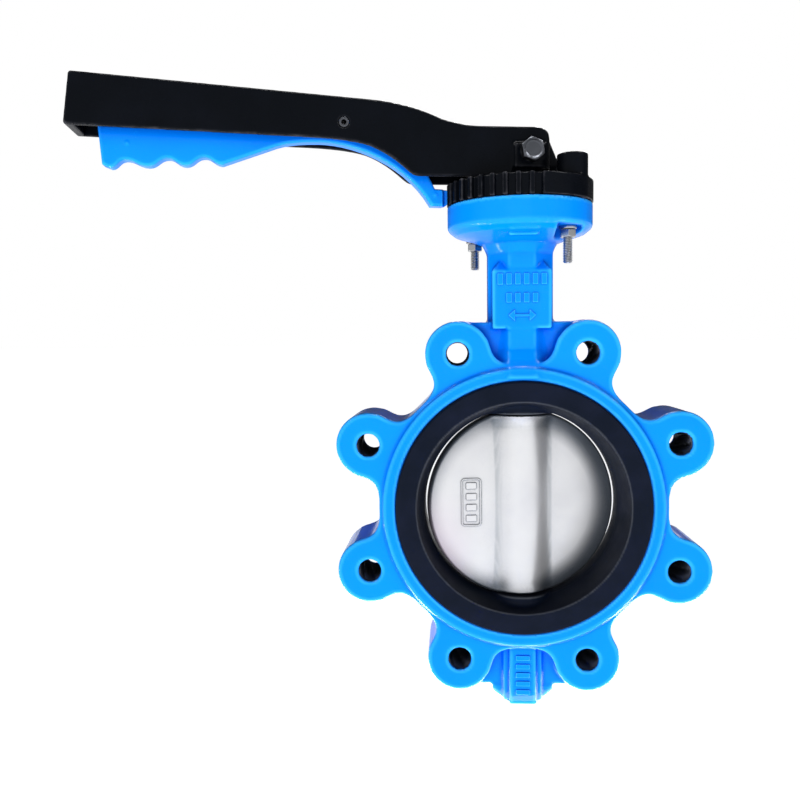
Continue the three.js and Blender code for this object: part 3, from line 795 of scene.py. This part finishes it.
# ---- cast marks
def bars(u, v, places, half_u, half_v):
    """Small blank blocks with round corners."""
    blocks = [rectangle(u, v, (a - half_u, a + half_u), (b - half_v, b + half_v), 0.6) for a, b in places]
    return np.min(blocks, axis=0)


def neck_marks(x, z):
    """Two rows of blank blocks and an arrow with two heads, because flow may pass either way."""
    pitch, half = 5.4, 1.75
    upper = bars(x, z, [(pitch * (i - 2.5), 143) for i in range(6)], half, 3.5)
    lower = bars(x, z, [(pitch * (i - 1.5), 131.4) for i in range(4)], half, 3.0)
    wide, tall = np.abs(x), np.abs(z - 120.6)
    heads = maximum(4.4 - wide, 0.74 * tall + 0.67 * (wide - 8.6))
    shaft = maximum(wide - 5, tall - 0.8)
    return minimum(minimum(upper, lower), minimum(heads, shaft))


def boss_marks(x, z):
    """A column of five blank blocks."""
    return bars(x, z, [(0, -97.6 - 5.6 * i) for i in range(5)], 4.5, 1.6)


def disc_marks(x, z):
    """A frame with four blank blocks."""
    frame_line = np.abs(rectangle(x, z, (-40, -28), (-13, 17), 2.0)) - 0.5
    return minimum(frame_line, bars(x, z, [(-34, 12.6 - 7 * i) for i in range(4)], 3.4, 2.1))


def flat_ground(level):
    return lambda x, z: level + 0 * x


def raised_mark(name, plan, ground, x_span, z_span, height, body, slot, angle=0.0):
    """Relief on a surface that faces -Y; ground gives how far out the surface lies."""
    root = 0.8

    def field(x, y, z):
        return between(plan(x, z), -y - ground(x, z), -root, height, 0.3)
    levels = ground(np.array(x_span), np.array(z_span))
    low = (x_span[0], -(np.max(levels) + height) - 1, z_span[0])
    high = (x_span[1], -(np.min(levels) - root) + 1, z_span[1])
    cast_piece(name, field, low, high, 0.42, body, slot, angle=angle)


# ---- materials
class Surface:
    """A node material built from its shader outwards. Noise scales are in features per metre."""

    def __init__(self, name, colour, roughness, metallic=0.0, **sockets):
        self.material = bpy.data.materials.new(name)
        self.material.use_nodes = True
        self.tree = self.material.node_tree
        self.shader = self.tree.nodes["Principled BSDF"]
        sockets.update(base_color=(*colour, 1), roughness=roughness, metallic=metallic)
        for socket, value in sockets.items():
            title = socket.replace("_", " ").title().replace("Ior", "IOR")
            self.shader.inputs[title].default_value = value
        self.place = self.tree.nodes.new("ShaderNodeTexCoord").outputs["Object"]
        self.normal = None

    def node(self, kind, settings=None, **links):
        """A new node; links name its sockets, or number them as i0, i1 and so on."""
        made = self.tree.nodes.new("ShaderNode" + kind)
        for name, value in (settings or {}).items():
            setattr(made, name, value)
        for name, value in links.items():
            numbered = name[0] == "i" and name[1:].isdigit()
            socket = made.inputs[int(name[1:]) if numbered else name]
            if isinstance(value, bpy.types.NodeSocket):
                self.tree.links.new(value, socket)
            else:
                socket.default_value = value
        return made

    def stretched(self, scale):
        return self.node("Mapping", Vector=self.place, Scale=scale).outputs["Vector"]

    def noise(self, scale, detail=3.0, rough=0.5, where=None):
        made = self.node("TexNoise", Vector=where or self.place, Scale=scale, Detail=detail, Roughness=rough)
        return made.outputs["Fac"]

    def ranged(self, value, low, high, out_low, out_high):
        made = self.node("MapRange", i0=value, i1=low, i2=high, i3=out_low, i4=out_high)
        return made.outputs[0]

    def patches(self, scale, detail, low, high, out_low=0, out_high=1, rough=0.5):
        """Noise whose span from low to high is spread over a new span."""
        return self.ranged(self.noise(scale, detail, rough), low, high, out_low, out_high)

    def product(self, a, b):
        return self.node("Math", {"operation": "MULTIPLY"}, i0=a, i1=b).outputs[0]

    def mixed(self, share, a, b):
        a, b = ((*c, 1) if isinstance(c, tuple) else c for c in (a, b))
        made = self.node("Mix", {"data_type": "RGBA"}, i0=share, i6=a, i7=b)
        return made.outputs[2]

    def edged(self, colour, low, high, strength, other):
        """The colour, mixed with another where the surface is sharply bent."""
        bend = self.ranged(self.node("NewGeometry").outputs["Pointiness"], low, high, 0, 1)
        return self.mixed(self.product(bend, strength), colour, other)

    def occlusion_shaded(self, colour, distance, low, high, strength, other):
        """The colour, mixed with another where the surface is closed in: painted shade from ambient
        occlusion.
        """
        made = self.node("AmbientOcclusion", {"samples": 6}, Distance=distance)
        closed = self.ranged(made.outputs["AO"], low, high, 0, 1)
        return self.mixed(self.product(closed, strength), colour, other)

    def coordinate(self, axis):
        return self.node("SeparateXYZ", i0=self.place).outputs[axis]

    def bump(self, height, strength, distance_mm):
        links = {"Strength": strength, "Distance": distance_mm * MM, "Height": height}
        if self.normal is not None:
            links["Normal"] = self.normal
        self.normal = self.node("Bump", **links).outputs["Normal"]

    def done(self, colour=None, roughness=None):
        for value, socket in ((colour, "Base Color"), (roughness, "Roughness"), (self.normal, "Normal")):
            if value is not None:
                self.tree.links.new(value, self.shader.inputs[socket])
        return self.material


def epoxy(name):
    """Thick glossy blue epoxy: orange peel, a painted highlight on outer edges and painted shade in creases
    and hollows.
    """
    look = Surface(name, BLUE, 0.25, coat_weight=0.10, coat_roughness=0.04, specular_ior_level=0.04)
    colour = look.mixed(look.patches(22, 2, 0.35, 0.65), BLUE, BLUE_WARM)
    # painted highlight: a pale cyan mixed in on sharply convex edges
    colour = look.edged(colour, 0.508, 0.57, 0.8, BLUE_HIGHLIGHT)
    # painted shade: a deeper blue in creases and where the surface is closed in
    colour = look.edged(colour, 0.495, 0.45, 0.6, BLUE_SHADE)
    colour = look.occlusion_shaded(colour, 0.026, 0.93, 0.45, 0.75, BLUE_SHADE)
    # painted glints: fine pale specks scattered at random
    colour = look.mixed(look.patches(1500, 1, 0.74, 0.80, 0, 0.35), colour, BLUE_HIGHLIGHT)
    look.bump(look.noise(95, 3), 0.22, 0.5)
    look.bump(look.noise(620, 2, 0.4), 0.10, 0.25)
    return look.done(colour, look.patches(60, 4, 0.3, 0.7, 0.12, 0.24))


def black_enamel(name):
    """Black paint with a fine texture; its edges are paler, partly worn and partly a painted highlight."""
    look = Surface(name, BLACK, 0.35, specular_ior_level=0.03, coat_weight=0.05, coat_roughness=0.05)
    wear_and_highlight = look.patches(160, 5, 0.42, 0.68, 0.1, 0.9, 0.65)
    # paler grey on convex edges: partly wear, partly painted highlight
    colour = look.edged(BLACK, 0.52, 0.62, wear_and_highlight, (0.12, 0.12, 0.14))
    colour = look.mixed(look.patches(35, 4, 0.45, 0.75, 0, 0.6), colour, (0.003, 0.004, 0.007))
    look.bump(look.noise(1100, 2), 0.12, 0.2)
    look.bump(look.noise(140, 3), 0.12, 0.4)
    return look.done(colour, look.patches(90, 5, 0.3, 0.7, 0.20, 0.36, 0.6))


def moulded_rubber(name):
    """Black rubber with a faint bloom, rings from the mould and a painted highlight on the edge round the
    bore's opening.
    """
    look = Surface(name, RUBBER, 0.45, specular_ior_level=0.10, sheen_weight=0.01, sheen_roughness=0.4)
    colour = look.mixed(look.patches(45, 5, 0.4, 0.75, 0, 0.8, 0.6), RUBBER, (0.005, 0.008, 0.022))
    from_axis = look.node("VectorMath", {"operation": "LENGTH"}, i0=look.stretched((1, 0, 1)))
    # painted highlight: a paler grey on the sharp edge round the bore's opening
    mouth_highlight = look.ranged(from_axis.outputs["Value"], 0.074, 0.070, 0, 0.5)
    colour = look.edged(colour, 0.525, 0.57, mouth_highlight, (0.16, 0.17, 0.19))
    mould_rings = look.node("TexWave", {"wave_type": "RINGS", "rings_direction": "Y", "wave_profile": "SIN"},
                            Vector=look.place, Scale=170.0, Distortion=0.4)
    look.bump(mould_rings.outputs["Fac"], 0.05, 0.2)
    look.bump(look.noise(800, 3), 0.12, 0.2)
    return look.done(colour, look.patches(70, 4, 0.3, 0.7, 0.36, 0.56))


def satin_metal(name, colour, tint, roughness, grain, grain_stretch=(1, 1, 1), lumps=0.1):
    """Bare or plated metal: a slow change of tint, painted shade in creases, painted highlights on sharp
    outer edges, cloudy gloss and a fine grain.
    """
    look = Surface(name, colour, roughness, 1.0)
    mixed = look.mixed(look.patches(28, 4, 0.35, 0.7, rough=0.6), colour, tint)
    # painted shade: darker in creases; painted highlight: paler on sharp outer edges
    mixed = look.edged(mixed, 0.48, 0.40, 0.6, tuple(0.35 * c for c in colour))
    mixed = look.edged(mixed, 0.53, 0.62, 0.8, tuple(min(0.9, 2.2 * c) for c in colour))
    look.bump(look.noise(110, 3), lumps, 0.4)
    look.bump(look.noise(grain, 2, where=look.stretched(grain_stretch)), 0.10, 0.06)
    return look.done(mixed, look.patches(75, 5, 0.3, 0.7, roughness - 0.06, roughness + 0.09, 0.6))


def plated_disc(name):
    """Satin plating over a cast disc, with painted shade along the spine's fillets and a faint painted pink
    reflection towards the lower rim of the left half.
    """
    look = Surface(name, SILVER, 0.35, 0.75)
    colour = look.mixed(look.patches(30, 4, 0.35, 0.7, rough=0.6), SILVER, (0.69, 0.69, 0.71))
    # painted shade: a dark teal-grey in the spine's fillets and where the surface is closed in, standing in
    # for their dark reflection
    colour = look.edged(colour, 0.499, 0.487, 0.8, (0.13, 0.17, 0.20))
    colour = look.occlusion_shaded(colour, 0.016, 0.94, 0.72, 0.92, (0.07, 0.09, 0.12))
    # painted reflection: a faint pink towards the lower rim of the left half
    left = look.ranged(look.coordinate(0), -0.030, -0.055, 0, 1)
    low = look.ranged(look.coordinate(2), 0.012, -0.040, 0, 1)
    colour = look.mixed(look.product(look.product(left, low), 0.7), colour, (0.72, 0.58, 0.68))
    look.bump(look.noise(75, 3), 0.16, 0.5)
    look.bump(look.noise(420, 3, 0.6), 0.08, 0.12)
    look.bump(look.noise(1800, 1, where=look.stretched((1, 1, 0.06))), 0.05, 0.05)
    return look.done(colour, look.patches(55, 5, 0.3, 0.7, 0.30, 0.42, 0.6))


def plain_polymer(name, colour, fleck, roughness):
    look = Surface(name, colour, roughness)
    mixed = look.mixed(look.patches(400, 4, 0.4, 0.7), colour, fleck)
    look.bump(look.noise(900, 2), 0.1, 0.1)
    return look.done(mixed, look.patches(150, 3, 0.3, 0.7, roughness - 0.08, roughness + 0.1))


BLUE = (0.0, 0.236, 0.92)
BLUE_WARM = (0.0, 0.258, 0.95)
# the pale cyan of the painted highlights
BLUE_HIGHLIGHT = (0.05, 0.52, 1.0)
# the deeper blue of the painted shade
BLUE_SHADE = (0.0, 0.055, 0.50)
BLACK = (0.0018, 0.0025, 0.0040)
RUBBER = (0.0020, 0.0045, 0.0120)
SILVER = (0.74, 0.74, 0.745)

FINISHES = {
    "blue_epoxy": epoxy("blue_epoxy"),
    "blue_latch": epoxy("blue_latch_paint"),
    "black_paint": black_enamel("black_enamel"),
    "epdm_rubber": moulded_rubber("epdm_rubber"),
    "plated_disc": plated_disc("plated_disc"),
    "zinc_steel": satin_metal("zinc_plating", (0.48, 0.49, 0.51), (0.40, 0.40, 0.38), 0.26, 1400),
    "black_steel": satin_metal("dark_bolt", (0.115, 0.12, 0.135), (0.075, 0.08, 0.09), 0.36, 1200),
    "stem_steel": satin_metal("turned_steel", (0.56, 0.57, 0.58), (0.50, 0.51, 0.53), 0.28, 900,
                              (0.05, 0.05, 1), 0.03),
    "spring_steel": satin_metal("spring_wire", (0.42, 0.42, 0.43), (0.36, 0.36, 0.38), 0.3, 1200),
    "tapped_iron": satin_metal("tapped_iron", (0.12, 0.13, 0.155), (0.08, 0.085, 0.10), 0.38, 800),
    "bearing_liner": plain_polymer("bearing_liner", (0.33, 0.25, 0.13), (0.20, 0.15, 0.08), 0.5),
}


# ---- camera, light and floor
def make_camera():
    """A normal lens, from a little to the left and a hand's breadth above the bore's centre."""
    data = bpy.data.cameras.new("camera")
    data.lens, data.sensor_width = 37.872, 36
    data.clip_end = 100
    camera = bpy.data.objects.new("camera", data)
    turn = Matrix.Rotation(math.radians(3.51), 4, "Z") @ Matrix.Rotation(math.radians(-4.05), 4, "X")
    turn = turn @ Matrix.Rotation(math.radians(0.71), 4, "Y") @ Matrix.Rotation(math.radians(90), 4, "X")
    camera.matrix_world = Matrix.Translation((-0.0442, -0.5486, 0.1059)) @ turn
    bpy.context.scene.collection.objects.link(camera)
    bpy.context.scene.camera = camera


painted = bpy.data.collections.new("painted")


def softbox(name, place, aim, size, power):
    """A lamp that is only seen as a highlight, and only on blue and black pieces."""
    data = bpy.data.lights.new(name, "AREA")
    data.shape, data.size, data.size_y, data.energy = "RECTANGLE", *size, power
    lamp = bpy.data.objects.new(name, data)
    lamp.location = place
    lamp.rotation_euler = (Vector(aim) - Vector(place)).to_track_quat("-Z", "Y").to_euler()
    bpy.context.scene.collection.objects.link(lamp)
    lamp.visible_diffuse = False
    lamp.visible_camera = False
    lamp.light_linking.receiver_collection = painted


def sun(name, direction, strength, spread):
    """Light without a mirror image."""
    data = bpy.data.lights.new(name, "SUN")
    data.energy = strength
    data.angle = math.radians(spread)
    lamp = bpy.data.objects.new(name, data)
    bpy.context.scene.collection.objects.link(lamp)
    lamp.rotation_euler = Vector(direction).to_track_quat("-Z", "Y").to_euler()
    lamp.visible_glossy = False


def make_world():
    """A white backdrop for the camera; for the light, a bright wall low in front and a dim room elsewhere."""
    world = bpy.data.worlds.new("studio")
    bpy.context.scene.world = world
    world.use_nodes = True
    nodes, links = world.node_tree.nodes, world.node_tree.links
    place = nodes.new("ShaderNodeSeparateXYZ")
    links.new(nodes.new("ShaderNodeTexCoord").outputs["Generated"], place.inputs[0])
    shares = []
    for axis, span in (("Z", (0.15, 0.6, 1.0, 0.12)), ("Y", (-0.6, 0.0, 0.88, 0.12))):
        share = nodes.new("ShaderNodeMapRange")
        for index, value in enumerate(span, start=1):
            share.inputs[index].default_value = value
        links.new(place.outputs[axis], share.inputs[0])
        shares.append(share.outputs[0])
    level = nodes.new("ShaderNodeMath")
    level.operation = "MULTIPLY"
    links.new(shares[0], level.inputs[0])
    links.new(shares[1], level.inputs[1])
    surround = nodes["Background"]
    surround.inputs["Color"].default_value = (0.97, 0.98, 1.0, 1)
    links.new(level.outputs[0], surround.inputs["Strength"])
    backdrop = nodes.new("ShaderNodeBackground")
    backdrop.inputs["Color"].default_value = (1, 1, 1, 1)
    shown = nodes.new("ShaderNodeMixShader")
    links.new(nodes.new("ShaderNodeLightPath").outputs["Is Camera Ray"], shown.inputs[0])
    links.new(surround.outputs[0], shown.inputs[1])
    links.new(backdrop.outputs[0], shown.inputs[2])
    links.new(shown.outputs[0], nodes["World Output"].inputs["Surface"])


def make_floor():
    """A wide white light table that the valve stands on."""
    half, bumps = 40.0, 8
    ticks = np.linspace(-half, half, bumps + 1)
    points = [(x, y, cad_low[2]) for x in ticks for y in ticks]
    side = bumps + 1
    faces = [(i * side + j, (i + 1) * side + j, (i + 1) * side + j + 1, i * side + j + 1)
             for i in range(bumps) for j in range(bumps)]
    mesh = bpy.data.meshes.new("floor")
    mesh.from_pydata(points, [], faces)
    floor = bpy.data.objects.new("floor", mesh)
    bpy.context.scene.collection.objects.link(floor)
    s = Surface("pale_floor", (0.86, 0.87, 0.88), 0.8, specular_ior_level=0.0)
    s.shader.inputs["Emission Color"].default_value = (0.97, 0.98, 1.0, 1)
    s.shader.inputs["Emission Strength"].default_value = 1.0
    floor.data.materials.append(s.done(None, s.ranged(s.noise(3, 2), 0.3, 0.7, 0.75, 0.85)))
    floor.visible_shadow = False


# ---- the pieces
def make_castings():
    cast_piece("body", body_field, body_low, body_high, 1.4, "valve_body", "blue_epoxy", ["body_casting"])
    cast_piece("liner", liner_field, liner_low, liner_high, 1.15, "valve_body", "epdm_rubber", ["seat_liner"])
    cast_piece("indexing_plate", plate_field, (-PLATE_R, -PLATE_R, plate_low[2]),
               (PLATE_R, PLATE_R, POST_TOP), 0.75, "valve_body", "black_paint", ["notch_plate"])
    cast_piece("closing_disc", disc_field, (-DISC_R, -20, -HUB_TOP), (DISC_R, 20, HUB_TOP), 0.8,
               "rotor", "plated_disc", ["disc"], OPENED)
    cast_piece("lever", handle_field, (-275.5, -CHEEK_HALF, 199), (HEAD_END + 8, CHEEK_HALF, 264.5), 1.0,
               "rotor", "black_paint", ["handle"], OPENED)
    cast_piece("squeeze_latch", latch_field, (-258, -12, 189), (TOOTH_TIP, 12, 245), 0.8,
               "latch", "blue_latch", ["latch"], OPENED)


def add_piece(name, shape, body, slot, replaced=(), at=(0, 0, 0), axis="z", angle=0.0, sharp=35, finish=None):
    """A turned, threaded or cut piece: its shape runs along +Z and is then put in its place."""
    points, faces = shape
    points = turned(placed(points, at, axis), angle)
    return make_piece(name, points, faces, body, slot, replaced, finish, sharp=sharp)


def make_plate_fasteners():
    thread_end = FRONT_SEAT + 4
    stud = thread_shape(PLATE_BOLT_R, 1.0, stud_low[2], thread_end, stud_high[2])
    add_piece("plate_stud", stud, "valve_body", "zinc_steel", ["plate_stud_front"], (STUD_X, STUD_Y, 0))
    shank = thread_shape(PLATE_BOLT_R, 1.0, z_span("plate_bolt_back")[0], thread_end, PLATE_FLOOR + 2)
    points, faces = hex_shape(10, 4, dish=0.5)
    bolt = joined(shank, (points + [0, 0, PLATE_FLOOR + GAP], faces))
    add_piece("plate_bolt", bolt, "valve_body", "zinc_steel", ["plate_bolt_back"], (-STUD_X, -STUD_Y, 0))
    for end, side in (("front", 1), ("back", -1)):
        for kind in ("washer_", "nut_"):
            low, high = z_span("plate_" + kind + end)
            if kind == "nut_":
                shape = hex_shape(9, high - low, PLATE_BOLT_R + 0.1)
            else:
                shape = tube_shape(PLATE_BOLT_R + GAP, 5.6, 0, high - low, 0.25, 48)
            add_piece("stud_" + kind + end, shape, "valve_body", "zinc_steel", ["plate_" + kind + end],
                      (side * STUD_X, side * STUD_Y, low))


def make_lever_hardware():
    seat = -20.8
    points, faces = hex_shape(13.2, 5.4, dish=0.9)
    head = (turned(points, math.radians(10)), faces)
    shank = loft(lathe_rows([(3.6, -14), (4, -13.6), (4, 0.4)], 32))
    add_piece("lever_set_bolt", joined(head, shank), "rotor", "black_steel", ["set_bolt"],
              (SET_BOLT_X, seat, SET_BOLT_Z), "-y", OPENED)
    washer = tube_shape(SET_BOLT_HOLE_R, 6.6, 0, 1.8, 0.25, 48)
    add_piece("lever_bolt_washer", washer, "rotor", "black_steel", ["set_bolt_washer"],
              (SET_BOLT_X, seat + 2.1, SET_BOLT_Z), "-y", OPENED)
    pin_half = 15.8
    add_piece("lever_pivot_pin", tube_shape(1.5, 3, -pin_half, pin_half, 0.5, 48), "rotor", "stem_steel",
              ["pivot_pin"], (PIVOT_X, 0, PIVOT_Z), "-y", OPENED, finish="black_steel")
    low, high = box_mm("latch_spring")
    spring = spring_shape(4.4, 0.7, 4, low[2], high[2])
    made = add_piece("return_spring", spring, None, "spring_steel", ["latch_spring"], (SPRING_X, 0, 0),
                     angle=OPENED)
    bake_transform(made)


def make_stem_parts():
    add_piece("drive_stem", upper_stem_shape(), "rotor", "stem_steel", ["upper_stem"], angle=OPENED)
    low, high = z_span("lower_stem")
    profile = [(STEM_R - 1, low), (STEM_R, low + 1), (STEM_R, high - 1), (STEM_R - 1, high)]
    add_piece("pivot_stem", loft(lathe_rows(profile, 64)), "rotor", "stem_steel", ["lower_stem"])
    add_piece("retaining_clip", circlip_shape(), "rotor", "spring_steel", ["stem_circlip"], angle=OPENED)
    sleeves = [("stem_bush_" + place, place + "_bush", 0.4) for place in ("upper", "middle", "bottom")]
    for name, node, corner in sleeves + [("stem_thrust_washer", "thrust_washer", 0.3)]:
        low, high = box_mm(node)
        ring = tube_shape(STEM_R + GAP, high[0], low[2], high[2], corner)
        add_piece(name, ring, "valve_body", "bearing_liner", [node])
    for place in ("upper", "lower"):
        low, high = box_mm("stem_seal_" + place)
        half, middle = (high[2] - low[2]) / 2, (low[2] + high[2]) / 2
        section = [(high[0] - half + half * math.cos(a), middle + half * math.sin(a)) for a in full_turn(16)]
        ring = loft(lathe_rows(section, 64), capped=False)
        add_piece("stem_ring_" + place, ring, "valve_body", "epdm_rubber", ["stem_seal_" + place], sharp=60)
    add_piece("foot_plug", plug_shape(), "valve_body", "zinc_steel", ["bottom_plug"])
    low, high = box_mm("plug_seal")
    gasket = tube_shape(5, high[0], low[2], high[2], 0.4)
    add_piece("foot_gasket", gasket, "valve_body", "epdm_rubber", ["plug_seal"])


def make_lug_threads():
    """The M16 thread cut in each lug, as a thin threaded sleeve in its hole."""
    end = LUG_HALF - 2.5
    rows = threaded_rows(8, 2.0, -end, end, inner=True, sides=32, per_turn=6)
    points, faces = loft(rows[::-1], capped=False)
    shapes = []
    for index in range(8):
        turn = (index + 0.5) * LUG_PITCH
        at = (BOLT_CIRCLE_R * math.cos(turn), 0, BOLT_CIRCLE_R * math.sin(turn))
        shapes.append((placed(points, at, "-y"), faces))
    points, faces = joined(*shapes)
    make_piece("lug_threads", points, faces, "valve_body", "black_steel", finish="tapped_iron", sharp=60)


def make_marks():
    neck_face = flat_ground(NECK_HALF + 0.3)
    for end, angle in (("front", 0.0), ("back", math.pi)):
        raised_mark("neck_marks_" + end, neck_marks, neck_face, (-16, 16), (116, 147.5), 1.0,
                    "valve_body", "blue_epoxy", angle)
    raised_mark("foot_marks", boss_marks, flat_ground(BOSS_PLATE_HALF), (-5.5, 5.5), (-122.5, -95.5), 0.9,
                "valve_body", "blue_epoxy")
    raised_mark("disc_marks", disc_marks, lambda x, z: lens_half(hypot(x, z)), (-41, -27), (-14, 18), 0.5,
                "rotor", "plated_disc", OPENED)


make_camera()
make_world()
make_floor()
sun("key", (0.12, 0.85, 0.5), 2.5, 40)
sun("front", (0.1, 1.0, -0.1), 0.6, 40)
sun("back", (0.2, -1.0, 0.3), 0.8, 50)
for name, place, size, power in (("left_strip", (-0.9, -0.35, 1.1), (0.12, 0.7), 12),
                                 ("right_strip", (0.9, -0.3, 1.0), (0.10, 0.6), 9),
                                 ("top_strip", (0.0, -0.35, 1.2), (0.7, 0.10), 12),
                                 ("rear_strip", (0.2, 0.9, 0.7), (0.7, 0.12), 8)):
    softbox(name, place, (0, 0, 0.05), size, power)
softbox("low_strip", (-0.05, 0.0, cad_low[2] + 0.002), (-0.05, 0.0, 1), (0.9, 0.056), 4)
make_castings()
make_lug_threads()
make_plate_fasteners()
make_lever_hardware()
make_stem_parts()
make_marks()
bpy.context.scene.view_settings.view_transform = "Standard"
